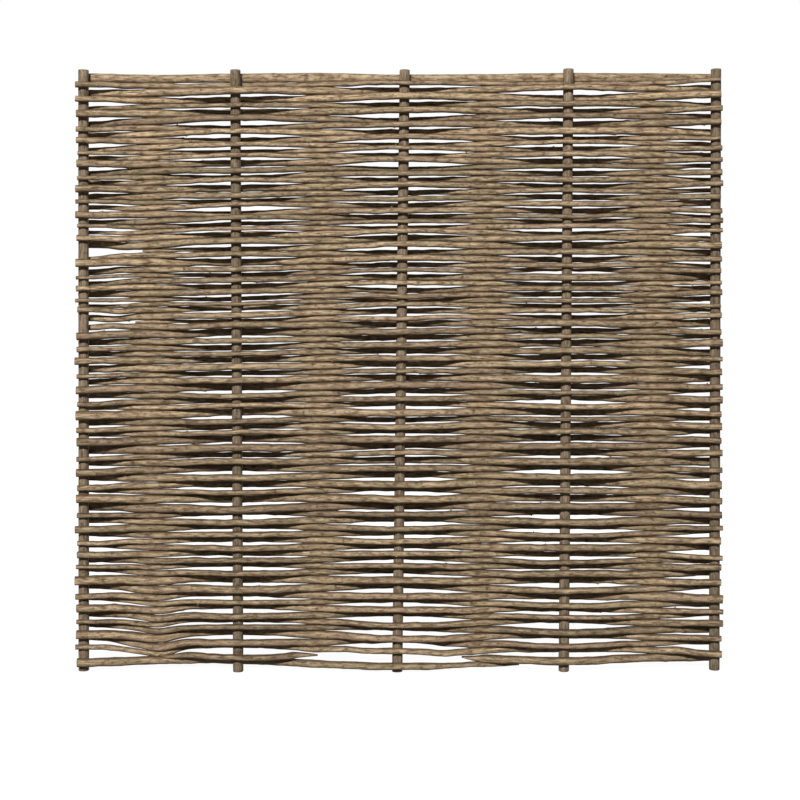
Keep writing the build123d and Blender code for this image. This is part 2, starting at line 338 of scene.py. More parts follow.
@dataclass
class Pole:
    """A round length of hazel along a given centre line."""

    centres: Array  # points of the centre line, shape (rows, 3)
    radii: Array  # radius at each of them
    knots: Knots
    places: Array  # length at each of them, as the knots count it
    rng: np.random.Generator
    across: Vector = UP  # the direction that a quarter turn from angle 0 faces
    facing: Vector | None = None  # what the rings face, where it isn't the centre line's way
    sides: int = 18
    tone: float = 0.0
    warmth: float = 0.0
    unevenness: float = 0.035  # share by which the radius wanders
    uneven_waves: tuple[tuple[float, float], ...] = ((1.0, 0.11), (0.4, 0.035))  # shares, lengths
    out_of_round: float = 0.035  # share by which the section is out of round
    twists: tuple[float, float] = (2.0, 6.0)  # least and most of its twist, in radians a metre
    saw_bevel: float = 0.7 * MM  # worn edge round a sawn end
    face_rings: tuple[float, float] = (0.4, 0.75)  # on a sawn end, as shares of its radius
    stub_share: float = 0.0  # share of the knots that keep a stub of their shoot
    stub: Stub = Stub()
    grain_shift: float = 5.0  # most by which its grain is moved, so that no two poles look the same
    bare: Array | float = 0.0  # how far the bark is off, in rows and columns
    tall: Array | float = 1.0  # height of the section over its depth, at each point of the centre line

    def axes(self) -> tuple[Array, Array, Array]:
        """The directions along and across the centre line at each of its points.

        Returns:
            The unit tangent T, U = T x across, and V = U x T, which lies a quarter turn left of U about T.
        """
        tangents = unit(np.gradient(self.centres, axis=0))
        if self.facing is not None:
            tangents = np.broadcast_to(np.array(self.facing), tangents.shape)
        sideways = unit(np.cross(tangents, np.array(self.across)))
        return tangents, sideways, np.cross(sideways, tangents)

    def side_radii(self, around: Array) -> tuple[Array, Array]:
        """The radius r(s) (1 + uneven(s) + oval cos(2 (a - lean) + twist s) + knots(s, a)), and the mask.

        Args:
            around: Angle a of each column.

        Returns:
            Both in rows, one for each length s, and columns.
        """
        swelling, mask = self.knots.swell(self.places, around)
        uneven = sum(
            share * self.unevenness * soft_noise(self.places, wave, self.rng)
            for share, wave in self.uneven_waves
        )
        lean, twist = self.rng.uniform(0.0, np.pi), self.rng.uniform(*self.twists)
        oval = self.out_of_round * np.cos(2.0 * (around - lean) + twist * self.places[:, None])
        return self.radii[:, None] * (1.0 + uneven[:, None] + oval + swelling), mask

    def add_to(self, surface: Surface) -> None:
        """Adds the pole to a surface, with three more rows for each sawn end, whose outer edge is worn.

        Args:
            surface: The surface that takes the pole's points and faces.
        """
        around = column_angles(self.sides)
        tangents, sideways, upward = self.axes()
        radii, mask = self.side_radii(around)
        last = len(self.places) - 1
        source = np.concatenate([[0, 0, 0], np.arange(last + 1), [last, last, last]])
        shares, cut, inset = np.ones(len(source)), np.zeros(len(source)), np.zeros(len(source))
        shares[:3] = (*self.face_rings, 1.0 - self.saw_bevel / self.radii.mean())
        shares[:-4:-1] = shares[:3]
        cut[:3] = cut[-3:] = 1.0
        inset[[3, -4]] = self.saw_bevel, -self.saw_bevel
        radii, mask = radii[source] * shares[:, None], mask[source]
        tall = np.broadcast_to(self.tall, last + 1)[source, None, None]
        turn = np.cos(around)[:, None] * sideways[source, None]
        turn = turn + tall * np.sin(around)[:, None] * upward[source, None]
        spine = self.centres[source] + tangents[source] * inset[:, None]
        rings = spine[:, None] + turn * radii[..., None]
        shift = self.rng.uniform(-self.grain_shift, self.grain_shift, 3)
        lengths = np.broadcast_to(self.places[source, None], radii.shape)
        grain = np.stack([lengths, radii * np.cos(around), radii * np.sin(around)], axis=-1) + shift
        bark = (1.0 - cut)[:, None]
        surface.add_tube(rings, {
            Carried.GRAIN: grain,
            Carried.TONE: self.tone,
            Carried.WARMTH: self.warmth,
            Carried.KNOT: mask * bark,
            Carried.CUT: cut[:, None],
            Carried.BARE: np.broadcast_to(self.bare, (last + 1, self.sides))[source] * bark,
        })
        self.add_stubs(surface, shift)

    def add_stubs(self, surface: Surface, shift: Array) -> None:
        """Adds the stubs of a few side shoots.

        A stub is a small cone along the sum of the pole's own direction and the direction out of the knot.
        It is left out where it would point to the front or the back, because the rods there have nothing
        beside them.

        Args:
            surface: The surface that takes the stubs.
            shift: What the pole's grain is shifted by.
        """
        form = self.stub
        around = column_angles(form.sides)
        tangents, sideways, upward = self.axes()
        first, last = self.places[form.end_rings], self.places[-1 - form.end_rings]
        chosen = self.rng.uniform(size=len(self.knots.places)) < self.stub_share
        for place, angle in zip(self.knots.places[chosen], self.knots.angles[chosen]):
            if abs(np.sin(angle)) < form.least_rise or not first < place < last:
                continue
            row = int(np.searchsorted(self.places, place))
            outward = np.cos(angle) * sideways[row] + np.sin(angle) * upward[row]
            along = unit(outward + self.rng.uniform(*form.leans) * tangents[row])
            side = unit(np.cross(along, tangents[row]))
            radius = self.rng.uniform(*form.radii) * MM
            length = self.rng.uniform(*form.lengths) * MM
            base = self.centres[row] + outward * (self.radii[row] - form.sunk)
            turn = np.cos(around)[:, None] * side + np.sin(around)[:, None] * np.cross(along, side)
            spine = base + np.array(form.rows)[:, None] * length * along
            rings = spine[:, None] + turn * (np.array(form.widths) * radius)[:, None, None]
            surface.add_tube(rings, {
                Carried.GRAIN: rings + shift,
                Carried.TONE: self.tone + form.tone,
                Carried.WARMTH: self.warmth,
                Carried.CUT: np.array(form.cut)[:, None],
            })


@dataclass
class Rod:
    """One woven rod, or one length of it, as its CAD solid has it: upright sections at its ends and bends."""

    node: str
    number: int  # within its node
    centres: Array  # of its sections, from left to right
    radii: Array
    rise: Array = field(default_factory=lambda: np.zeros(0))  # above its CAD height, at the stations
    growth: Array = field(default_factory=lambda: np.zeros(0))  # there, of the radius

    def extended(self, reach: float) -> Array:
        """Its centre line, with the run at each end carried straight on by reach along X."""
        first, last = self.centres[:2], self.centres[-2:]
        step_in, step_out = (run[1] - run[0] for run in (first, last))
        before = self.centres[0] - step_in * reach / step_in[0]
        beyond = self.centres[-1] + step_out * reach / step_out[0]
        return np.vstack([before, self.centres, beyond])


@dataclass
class Weave:
    """The woven rods, swept along smooth lines through the same bends as their CAD solids.

    Before that, all the rods settle together at evenly spaced stations along X. Each one wanders a little,
    and where two neighbours cross, they close up until they touch.
    """

    sides_in_cad: int = 8
    far: float = 2.0  # more than the panel's width
    bend_reach: float = 55.0 * MM  # from a stake to the bend where a rod leaves it
    step: float = 2.5 * MM  # of the line that is averaged
    station_spacing: float = 6.0 * MM
    sway: float = 4.2 * MM  # by which a rod passes a stake higher or lower than its CAD solid
    crossing_sway: float = 0.25  # share of that where it crosses its neighbours
    sway_seed: int = 3  # of its random numbers
    heave: float = 1.6 * MM  # by which whole stretches of the weave rise and sink
    heave_waves: tuple[Vector, ...] = ((0.0, 0.13, 0.031), (1.7, -0.09, 0.047))  # start, lengths in x and z
    kink: float = 0.75 * MM  # by which a rod is crooked
    kink_waves: tuple[tuple[float, float], ...] = ((0.7, 0.12), (0.4, 0.05))  # shares of it, lengths
    crossing_kink: float = 0.4  # share of it where it crosses its neighbours
    kink_from: float = 4.0 * MM  # from the middle plane, where it starts to be more crooked
    kink_over: float = 14.0 * MM  # depth over which that grows to all of it
    drift: float = 0.7 * MM  # by which it wanders to the front and the back
    drift_wave: float = 0.15  # length of that
    spring: float = 40.0  # of the touch between two rods, against 1 for a rod's hold on its own height
    press: float = 0.9 * MM  # by which touching rods press into each other's bark
    touch_to: float = 0.8  # rods up to so many times their touch apart from front to back are fully close
    touch_fade: float = 0.7  # over so much more their closeness ends
    scarf: float = 70.0 * MM  # length over which a rod that ends between two stakes is cut to a point
    scarf_tip: float = 2.2 * MM  # its radius at that end
    tip_reach: float = 130.0 * MM  # from such a point at the left to where its neighbours are apart again
    tip_pull: float = 2.4  # times the missing thickness, which pulls them there against their springs
    low_rods: int = 3  # round the points of so many of the lowest rods, only those above close up
    low_pull: float = 9.0  # the pull there, above the point nearest the lower left corner
    late_pull: float = 2.5  # the same, above a point to the right of the middle stake
    tip_fade: float = 0.33  # share by which the closing up gets less from one rod to the next
    spread: int = 4  # number of rods on each side over which the slack is evened out
    smoothing: float = 20.0 * MM  # of the settled lines along X
    smoothing_reach: float = 3.0  # times that, to where its weights end
    colour_spread: float = 0.5  # of the rods' tone and warmth
    stub_share: float = 0.4  # of the knots
    rods: list[Rod] = field(default_factory=list)
    stations: Array = field(default_factory=lambda: np.zeros(0))

    def sections(self, solid: Array) -> Array:
        """Picks a rod's sections out of the points of its solid.

        A section is a set of points at one x, as many as the solid has sides, and all at one distance from
        their middle. Points that the flat facets of a taper have between two sections are left out.

        Args:
            solid: The solid's points, sorted by x.

        Returns:
            The corners of each section, shape (sections, sides, 3).
        """
        groups = np.split(solid, np.flatnonzero(np.diff(solid[:, 0]) > SAME_PLACE) + 1)
        rings = np.array([group for group in groups if len(group) == self.sides_in_cad])
        apart = np.linalg.norm(rings - rings.mean(axis=1, keepdims=True), axis=2)
        return rings[np.ptp(apart, axis=1) < SAME_PLACE]

    def read(self) -> None:
        """Reads the centres and radii of every rod's sections, from the lowest rod to the highest."""
        for node in (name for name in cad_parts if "rod" in name):
            for number, solid in enumerate(separate_solids(node)):
                sections = self.sections(solid)
                radii = np.ptp(sections[:, :, 2], axis=1) / 2.0
                self.rods.append(self.pointed(Rod(node, number, sections.mean(axis=1), radii)))
        self.rods.sort(key=lambda rod: rod.centres[:, 2].mean())
        low, high = CAD_BOX[0][0], CAD_BOX[1][0]
        self.stations = np.linspace(low, high, round((high - low) / self.station_spacing) + 1)

    def pointed(self, rod: Rod) -> Rod:
        """Cuts each end of a rod that lies between two stakes to a point.

        Args:
            rod: The rod as its CAD solid has it.

        Returns:
            The same rod, with one more section where each cut starts and a small radius at the cut end.
        """
        x = rod.centres[:, 0]
        bays = bay_places()
        ends = np.array([0, -1])
        cut = np.array([x[0] > bays[1] - self.scarf, x[-1] < bays[-2] + self.scarf])
        added = (x[ends] + np.array([self.scarf, -self.scarf]))[cut]
        places = np.sort(np.concatenate([x, added]))
        rod.radii = np.interp(places, x, rod.radii)
        rod.radii[ends[cut]] = self.scarf_tip
        rod.centres = np.array([np.interp(places, x, line) for line in rod.centres.T]).T
        return rod

    def smooth_y(self, rod: Rod, x: Array) -> Array:
        """Where a rod lies from front to back at x.

        Its straight runs are averaged over twice the bend reach, so the line is unchanged beside a stake and
        in the middle of a run, and an even curve joins the two: y(x) = (F(x + b) - F(x - b)) / 2b, where F
        adds up the straight runs.

        Args:
            rod: The rod.
            x: Where the line is read.

        Returns:
            One y for each x.
        """
        corners = rod.extended(self.far)
        dense = np.arange(corners[0, 0], corners[-1, 0], self.step)
        runs = np.interp(dense, corners[:, 0], corners[:, 1])
        total = np.concatenate([[0.0], np.cumsum((runs[1:] + runs[:-1]) / 2.0 * self.step)])
        beyond = np.interp(x + self.bend_reach, dense, total)
        before = np.interp(x - self.bend_reach, dense, total)
        return (beyond - before) / (2.0 * self.bend_reach)

    def wander(self, rod: Rod) -> Array:
        """How far a rod lies above its CAD height at each station, before it settles.

        An eased line through one random height at each stake, and a smaller one where the rod crosses its
        neighbours halfway between two stakes, plus slow waves of x and z that whole stretches share.

        Args:
            rod: The rod.

        Returns:
            One height for each station.
        """
        rng = np.random.default_rng([self.sway_seed, rod.number, *rod.node.encode()])
        places = bay_places()
        heights = rng.uniform(-1.0, 1.0, len(places)) * self.sway
        heights[1::2] *= self.crossing_sway
        own = eased(self.stations, places, heights)
        z = rod.centres[:, 2].mean()
        shared = sum(np.sin(start + self.stations / along + z / up) for start, along, up in self.heave_waves)
        return own + self.heave / 2.0 * shared

    def close_up(self) -> Array:
        """How far the rods rise or sink because one of them starts at a point between two stakes.

        The next rod above sinks, and the next one below rises, by tip_pull times the thickness that is
        missing at the point. It fades evenly, to nothing at tip_reach to the left and at the end of the cut
        to the right, and each further rod moves by a share less. Round the points of the lowest rods only
        what is above them moves, by low_pull or late_pull times the missing thickness.

        Returns:
            The rise of each rod at each station.
        """
        rise = np.zeros((len(self.rods), len(self.stations)))
        for number, rod in enumerate(self.rods):
            if rod.radii[0] != self.scarf_tip:
                continue
            away = self.stations - rod.centres[0, 0]
            share_away = np.abs(away) / np.where(away < 0.0, self.tip_reach, self.scarf)
            missing = (rod.radii.max() - rod.radii[0]) * np.clip(1.0 - share_away, 0.0, 1.0)
            steps = np.arange(len(self.rods)) - number
            share = -np.sign(steps) * (1.0 - self.tip_fade) ** (np.abs(steps) - 1)
            if number < self.low_rods:
                pull = self.low_pull if rod.centres[0, 0] < 0.0 else self.late_pull
                share *= np.where(steps > 0, pull, 0.0)
            else:
                share *= self.tip_pull
            rise += share[:, None] * missing
        return rise

    def fill(self, slack: Array, close: Array, both: Array) -> Array:
        """How much the rods' radii grow where they cross, which fills the slack between them.

        At each station the slack is first evened out: it is replaced by its mean over the pairs of
        neighbours up to spread rods away. Each of two neighbours then grows by a quarter of it, times their
        closeness.

        Args:
            slack: The gap between each two neighbours at each station, below 0 where they overlap.
            close: Their closeness there.
            both: Whether both of them reach that station.

        Returns:
            The growth of each rod at each station.
        """
        window = np.ones(2 * self.spread + 1)
        evened = np.array([
            np.convolve(column, window, "same") / np.maximum(np.convolve(known, window, "same"), 1.0)
            for column, known in zip(slack.T, both.T.astype(float))
        ]).T
        filling = close * evened / 4.0
        growth = np.zeros((len(self.rods), len(self.stations)))
        growth[1:] += filling
        growth[:-1] += filling
        return growth

    def balance(self, wanted: Array, touch: Array, pull: Array) -> Array:
        """The heights z that make sum (z - wanted)^2 + sum pull (z above - z below - touch)^2 least.

        That is one set of linear equations for each station, solved for all the rods at once.

        Args:
            wanted: The height that each rod would take by itself, at each station.
            touch: The distance at which each two neighbours touch, there.
            pull: The strength of their touch, there.

        Returns:
            The settled height of each rod at each station.
        """
        rows = np.arange(len(wanted))
        system = np.zeros((wanted.shape[1], len(rows), len(rows)))
        system[:, rows, rows] = 1.0
        system[:, rows[:-1], rows[:-1]] += pull.T
        system[:, rows[1:], rows[1:]] += pull.T
        system[:, rows[:-1], rows[1:]] = system[:, rows[1:], rows[:-1]] = -pull.T
        target = wanted.T.copy()
        target[:, 1:] += (pull * touch).T
        target[:, :-1] -= (pull * touch).T
        return np.linalg.solve(system, target[..., None])[..., 0].T

    def smoothed(self, line: Array) -> Array:
        """A line over the stations, averaged with the weights exp(-(distance / smoothing)^2 / 2)."""
        reach = self.smoothing_reach * self.smoothing
        places = np.arange(-reach, reach, self.station_spacing)
        weights = np.exp(-((places / self.smoothing) ** 2) / 2.0)
        edges = len(weights) // 2, len(weights) - 1 - len(weights) // 2
        return np.convolve(np.pad(line, edges, "edge"), weights / weights.sum(), "valid")

    def settle(self) -> None:
        """Finds the settled height and thickness of every rod at every station.

        Two neighbours touch at the sum of their radii less the press. Their closeness from front to back is
        1 where they cross and 0 where one has passed the other. It is what fills the slack between them and
        what their touch pulls by.
        """
        x = self.stations
        lines = [rod.extended(self.far) for rod in self.rods]
        first = np.array([np.interp(x, line[:, 0], line[:, 2]) for line in lines])
        y = np.array([self.smooth_y(rod, x) for rod in self.rods])
        real = np.array([(x >= rod.centres[0, 0]) & (x <= rod.centres[-1, 0]) for rod in self.rods])
        radii = np.array([np.interp(x, rod.centres[:, 0], rod.radii) for rod in self.rods]) * real
        touch = radii[1:] + radii[:-1] - self.press
        apart = np.abs(np.diff(y, axis=0)) / np.maximum(touch, MM)
        both = real[1:] & real[:-1]
        close = (1.0 - smooth_step((apart - self.touch_to) / self.touch_fade)) * both
        slack = np.where(both, np.diff(first, axis=0) - touch, 0.0)
        growth = self.fill(slack, close, both) * real
        touch += growth[1:] + growth[:-1]
        wanted = first + np.array([self.wander(rod) for rod in self.rods]) + self.close_up()
        settled = self.balance(wanted, touch, self.spring * close)
        for rod, rise, swell in zip(self.rods, settled - first, growth):
            rod.rise, rod.growth = self.smoothed(rise), self.smoothed(swell)

    def add_rod(self, rod: Rod, surface: Surface) -> None:
        """Sweeps one rod along its smooth, settled line.

        Args:
            rod: The rod.
            surface: The surface that takes it.
        """
        rng = np.random.default_rng([rod.number, *rod.node.encode()])
        knots = Knots(rod.centres[0, 0], rod.centres[-1, 0], rng)
        x = knots.ring_places()
        y = self.smooth_y(rod, x)
        free = smooth_step((np.abs(y) - self.kink_from) / self.kink_over)
        z = np.interp(x, rod.centres[:, 0], rod.centres[:, 2]) + np.interp(x, self.stations, rod.rise)
        crooked = sum(share * soft_noise(x, wave, rng) for share, wave in self.kink_waves)
        z += self.kink * (self.crossing_kink + (1.0 - self.crossing_kink) * free) * crooked
        y += self.drift * soft_noise(x, self.drift_wave, rng)
        tone, warmth = (float(np.clip(rng.normal(0.0, self.colour_spread), -1.0, 1.0)) for _ in range(2))
        Pole(
            centres=np.stack([x, y, z], axis=1),
            radii=np.interp(x, rod.centres[:, 0], rod.radii) + np.interp(x, self.stations, rod.growth),
            places=x,
            knots=knots,
            rng=rng,
            tone=tone,
            warmth=warmth,
            stub_share=self.stub_share,
        ).add_to(surface)

    def make(self, finish: Material) -> list[Piece]:
        """Builds one piece for each CAD node of rods.

        Args:
            finish: The rods' bark.

        Returns:
            The finished pieces.
        """
        self.read()
        self.settle()
        pieces = []
        for node in dict.fromkeys(rod.node for rod in self.rods):
            surface = Surface()
            for rod in (rod for rod in self.rods if rod.node == node):
                self.add_rod(rod, surface)
            pieces.append(surface.build(f"hazel_{node}", node, finish))
        return pieces


@dataclass(frozen=True)
class PeeledStrip:
    """A strip up a stake that has lost its bark."""

    low: float  # height at which it starts
    high: float
    angle: float  # where it faces, from the front towards the left
    half_width: float  # as an angle
    raggedness: float = 0.25  # share by which its width wanders
    wave: float = 0.02  # length of that
    side_edge: float = 0.12  # angle over which the bark ends
    low_edge: float = 3.0 * MM
    high_edge: float = 4.0 * MM

    def bared(self, z: Array, around: Array, rng: np.random.Generator) -> Array:
        """How far the bark is off: 1 within the strip and 0 outside it, with a smooth step between.

        Args:
            z: Height of each row.
            around: Angle of each column.
            rng: Source of the ragged sides.

        Returns:
            One value for each row and column.
        """
        apart = np.abs((around - self.angle + np.pi) % TURN - np.pi)
        half_width = self.half_width * (1.0 + self.raggedness * soft_noise(z, self.wave, rng))
        inside = smooth_step((half_width[:, None] - apart) / self.side_edge)
        over = smooth_step((z - self.low) / self.low_edge) * smooth_step((self.high - z) / self.high_edge)
        return inside * over[:, None]


@dataclass
class Stake:
    """One upright stake, sawn off level at both ends."""

    node: str
    peeled: PeeledStrip | None = None
    sides: int = 28
    end_layer: float = 0.1 * MM  # thickness of the layer that holds the corners of an end face
    knot_spacing: float = 0.16
    knot_swelling: float = 0.06
    knot_reach: float = 11.0 * MM
    unevenness: float = 0.012
    saw_bevel: float = 1.0 * MM
    tone: float = 0.4  # most that it is paler or darker
    warmth: float = 0.5  # most that it is more pink or olive

    def make(self, finish: Material) -> Piece:
        """Builds the stake along the line from the middle of its foot to the middle of its top.

        Args:
            finish: The stakes' bark.

        Returns:
            The finished piece.
        """
        points = separate_solids(self.node)[0]
        low, high = points[:, 2].min(), points[:, 2].max()
        foot = points[points[:, 2] < low + self.end_layer].mean(axis=0)
        top = points[points[:, 2] > high - self.end_layer].mean(axis=0)
        rng = np.random.default_rng(list(self.node.encode()))
        knots = Knots(low, high, rng, self.knot_spacing, self.knot_swelling, self.knot_reach)
        z = knots.ring_places()
        bare = self.peeled.bared(z, column_angles(self.sides), rng) if self.peeled else 0.0
        surface = Surface()
        Pole(
            centres=foot + (top - foot) * ((z - low) / (high - low))[:, None],
            radii=np.full(len(z), np.ptp(points[:, 1]) / 2.0),
            places=z,
            knots=knots,
            rng=rng,
            across=(1.0, 0.0, 0.0),
            facing=UP,
            sides=self.sides,
            tone=float(rng.uniform(-self.tone, self.tone)),
            warmth=float(rng.uniform(-self.warmth, self.warmth)),
            unevenness=self.unevenness,
            out_of_round=self.unevenness,
            saw_bevel=self.saw_bevel,
            bare=bare,
        ).add_to(surface)
        return surface.build(f"hazel_{self.node}", self.node, finish)


@dataclass
class TopRail:
    """The rail that lies behind the stakes' tops.

    It is as deep as its CAD solid, and a little taller, with a wavy upper edge.
    """

    node: str = "top_rail"
    sides: int = 24
    heights: tuple[float, ...] = (25.0, 24.0, 25.5, 27.0, 21.0, 25.0, 26.5, 25.0, 19.0)  # mm, at bay_places
    dips: tuple[float, ...] = (1.0, 5.0, 1.5, 0.0, 5.0, 3.5, 0.0, 1.0, 3.0)  # mm, of its upper edge, there
    knot_spacing: float = 0.24
    knot_swelling: float = 0.1
    knot_reach: float = 10.0 * MM
    unevenness: float = 0.02
    tone: float = 0.2

    def make(self, finish: Material) -> Piece:
        """Builds the rail along the line through its sections at the two ends and in the middle.

        Its centre lies half its height below its upper edge, which is the CAD solid's less the dip.

        Args:
            finish: The rail's bark.

        Returns:
            The finished piece.
        """
        points = separate_solids(self.node)[0]
        rng = np.random.default_rng(list(self.node.encode()))
        stations = np.array([points[0, 0], 0.0, points[-1, 0]])
        boxes = [points[np.abs(points[:, 0] - x) < SAME_PLACE][:, 1:] for x in stations]
        middles = np.array([(box.min(axis=0) + box.max(axis=0)) / 2.0 for box in boxes])
        widths = np.array([np.ptp(box[:, 1]) / 2.0 for box in boxes])
        knots = Knots(stations[0], stations[-1], rng, self.knot_spacing, self.knot_swelling, self.knot_reach)
        x = knots.ring_places()
        y = np.interp(x, stations, middles[:, 0])
        height, dip = (MM * eased(x, bay_places(), np.array(values)) for values in (self.heights, self.dips))
        z = points[:, 2].max() - dip - height / 2.0
        radii = np.interp(x, stations, widths)
        surface = Surface()
        Pole(
            centres=np.stack([x, y, z], axis=1),
            radii=radii,
            tall=height / 2.0 / radii,
            places=x,
            knots=knots,
            rng=rng,
            sides=self.sides,
            tone=self.tone,
            unevenness=self.unevenness,
            out_of_round=self.unevenness,
        ).add_to(surface)
        return surface.build("hazel_top_rail", self.node, finish)


@dataclass
class RailNails:
    """The nails that hold the rail to the stakes: domed heads at the back, shanks and points in the wood."""

    node: str = "rail_nails"
    sides: int = 24
    point_ring: float = 0.4  # on the flat point, as a share of its radius
    shank_hold: float = 2.0 * MM  # from the last ring of the shank to the head
    rim: float = 0.3 * MM  # rounded edge under the head
    rim_ring: float = 0.93  # its inner side, as a share of the head's radius
    dome: float = 0.5 * MM
    dome_top: float = 0.15 * MM  # height of its flatter part
    dome_rings: tuple[float, float, float] = (0.97, 0.7, 0.3)  # on it, the same, from its edge inward

    def profile(self, nail: Array) -> Array:
        """Reads a nail's profile off its CAD solid and adds the rounded head.

        Args:
            nail: The solid's points.

        Returns:
            Rows of a distance from the point along the nail and the radius there.
        """
        start = nail[:, 1].min()
        shoulders = np.unique(nail[:, 1].round(6))
        rings = (nail[np.abs(nail[:, 1] - place) < SAME_PLACE] for place in (start, shoulders[1]))
        point, shank = (np.ptp(ring[:, 0]) / 2.0 for ring in rings)
        head = np.ptp(nail[:, 0]) / 2.0
        taper, neck, end = shoulders[1] - start, shoulders[-2] - start, nail[:, 1].max() - start
        return np.array([
            (0.0, self.point_ring * point),
            (0.0, point),
            (taper, shank),
            (neck - self.shank_hold, shank),
            (neck, shank),
            (neck, self.rim_ring * head),
            (neck + self.rim, head),
            (end - self.dome, self.dome_rings[0] * head),
            (end - self.dome_top, self.dome_rings[1] * head),
            (end, self.dome_rings[2] * head),
        ])

    def make(self, finish: Material) -> Piece:
        """Builds each nail as its profile, turned about its own axis, which runs from front to back.

        Args:
            finish: The nails' steel.

        Returns:
            The finished piece.
        """
        surface = Surface()
        around = column_angles(self.sides)
        turn = np.stack([np.cos(around), np.zeros(self.sides), -np.sin(around)], axis=-1)
        for nail in separate_solids(self.node):
            low, high = nail.min(axis=0), nail.max(axis=0)
            foot = np.array([(low[0] + high[0]) / 2.0, low[1], (low[2] + high[2]) / 2.0])
            depths, radii = self.profile(nail).T
            spine = foot + depths[:, None] * np.array([0.0, 1.0, 0.0])
            rings = spine[:, None] + turn * radii[:, None, None]
            surface.add_tube(rings, {Carried.GRAIN: rings})
        return surface.build("steel_rail_nails", self.node, finish)


@dataclass(frozen=True)
class Pattern:
    """Noise or spots, so many in a metre along the grain and across it."""

    along: float
    across: float
    detail: float = 3.0  # of the noise
    roughness: float = 0.6


@dataclass(frozen=True)
class Layer:
    """The values of a pattern between which a layer of a finish goes from nothing to all of it."""

    start: float
    full: float
    share: float = 1.0  # of its colour


class Shading:
    """A material's node tree while it is being built."""

    def __init__(self, name: str) -> None:
        """Starts an empty material of that name."""
        self.material = bpy.data.materials.new(name)
        self.material.use_nodes = True
        self.tree = self.material.node_tree
        self.tree.nodes.clear()

    def feed(self, socket: Socket, value: Socket | Colour | float) -> None:
        """Links a socket to another one, or sets its own value.

        Args:
            socket: The input.
            value: What it takes: an output, a colour, a vector or a number.
        """
        if isinstance(value, bpy.types.NodeSocket):
            self.tree.links.new(value, socket)
        elif socket.type == "RGBA":
            socket.default_value = (*value, 1.0)
        else:
            socket.default_value = value

    def add(self, kind: str, inputs: dict[str | int, Socket | Colour | float],
            **settings: object) -> bpy.types.Node:
        """Adds a node.

        Args:
            kind: The node's type.
            inputs: What its inputs take, by name or number.
            **settings: The node's own settings.

        Returns:
            The new node.
        """
        node = self.tree.nodes.new(kind)
        for name, value in settings.items():
            setattr(node, name, value)
        for key, value in inputs.items():
            self.feed(node.inputs[key], value)
        return node

    def carried(self, kind: Carried) -> Socket:
        """What the surface carries under that name."""
        node = self.add("ShaderNodeAttribute", {}, attribute_name=kind.value)
        return node.outputs["Vector" if kind is Carried.GRAIN else "Fac"]

    def math(self, operation: str, *values: Socket | float) -> Socket:
        """The result of one sum, product or the like."""
        return self.add("ShaderNodeMath", dict(enumerate(values)), operation=operation).outputs[0]

    def step(self, value: Socket, layer: Layer) -> Socket:
        """A smooth rise from 0 at the layer's start to 1 where it is full."""
        inputs = {"Value": value, "From Min": layer.start, "From Max": layer.full}
        return self.add("ShaderNodeMapRange", inputs, interpolation_type="SMOOTHSTEP").outputs["Result"]

    def scaled(self, place: Socket, pattern: Pattern) -> Socket:
        """A place on a surface, counted in the pattern's spots."""
        stretch = (pattern.along, pattern.across, pattern.across)
        return self.add("ShaderNodeMapping", {"Vector": place, "Scale": stretch}).outputs["Vector"]

    def noise(self, place: Socket, pattern: Pattern) -> Socket:
        """Noise from 0 to 1."""
        inputs = {"Vector": self.scaled(place, pattern), "Scale": 1.0, "Detail": pattern.detail}
        return self.add("ShaderNodeTexNoise", {**inputs, "Roughness": pattern.roughness}).outputs["Fac"]

    def spots(self, place: Socket, pattern: Pattern) -> tuple[Socket, Socket]:
        """The distance to the middle of each spot, and a colour of its own."""
        inputs = {"Vector": self.scaled(place, pattern), "Scale": 1.0, "Randomness": 1.0}
        node = self.add("ShaderNodeTexVoronoi", inputs)
        return node.outputs["Distance"], node.outputs["Color"]

    def mix(self, share: Socket | float, first: Socket | Colour, second: Socket | Colour,
            blend: str = "MIX") -> Socket:
        """A colour between two others.

        Args:
            share: How much of the second one.
            first: The first colour.
            second: The second colour.
            blend: How they are mixed.

        Returns:
            The mixed colour.
        """
        node = self.add("ShaderNodeMix", {}, data_type="RGBA", blend_type=blend)
        for socket, value in ((node.inputs[0], share), (node.inputs[6], first), (node.inputs[7], second)):
            self.feed(socket, value)
        return node.outputs[2]

    def finish(self, colour: Socket, height: Socket, depth: float, plain: dict[str, float]) -> Material:
        """Ends the tree in a Principled shader.

        Args:
            colour: The surface's colour.
            height: The relief, from 0 to 1.
            depth: How deep the relief is.
            plain: Numbers that are the same all over, by the name of the shader's socket.

        Returns:
            The finished material.
        """
        bump = self.add("ShaderNodeBump", {"Height": height, "Distance": depth, "Strength": 1.0})
        inputs = {"Base Color": colour, "Normal": bump.outputs["Normal"], **plain}
        shader = self.add("ShaderNodeBsdfPrincipled", inputs)
        self.add("ShaderNodeOutputMaterial", {"Surface": shader.outputs["BSDF"]})
        return self.material


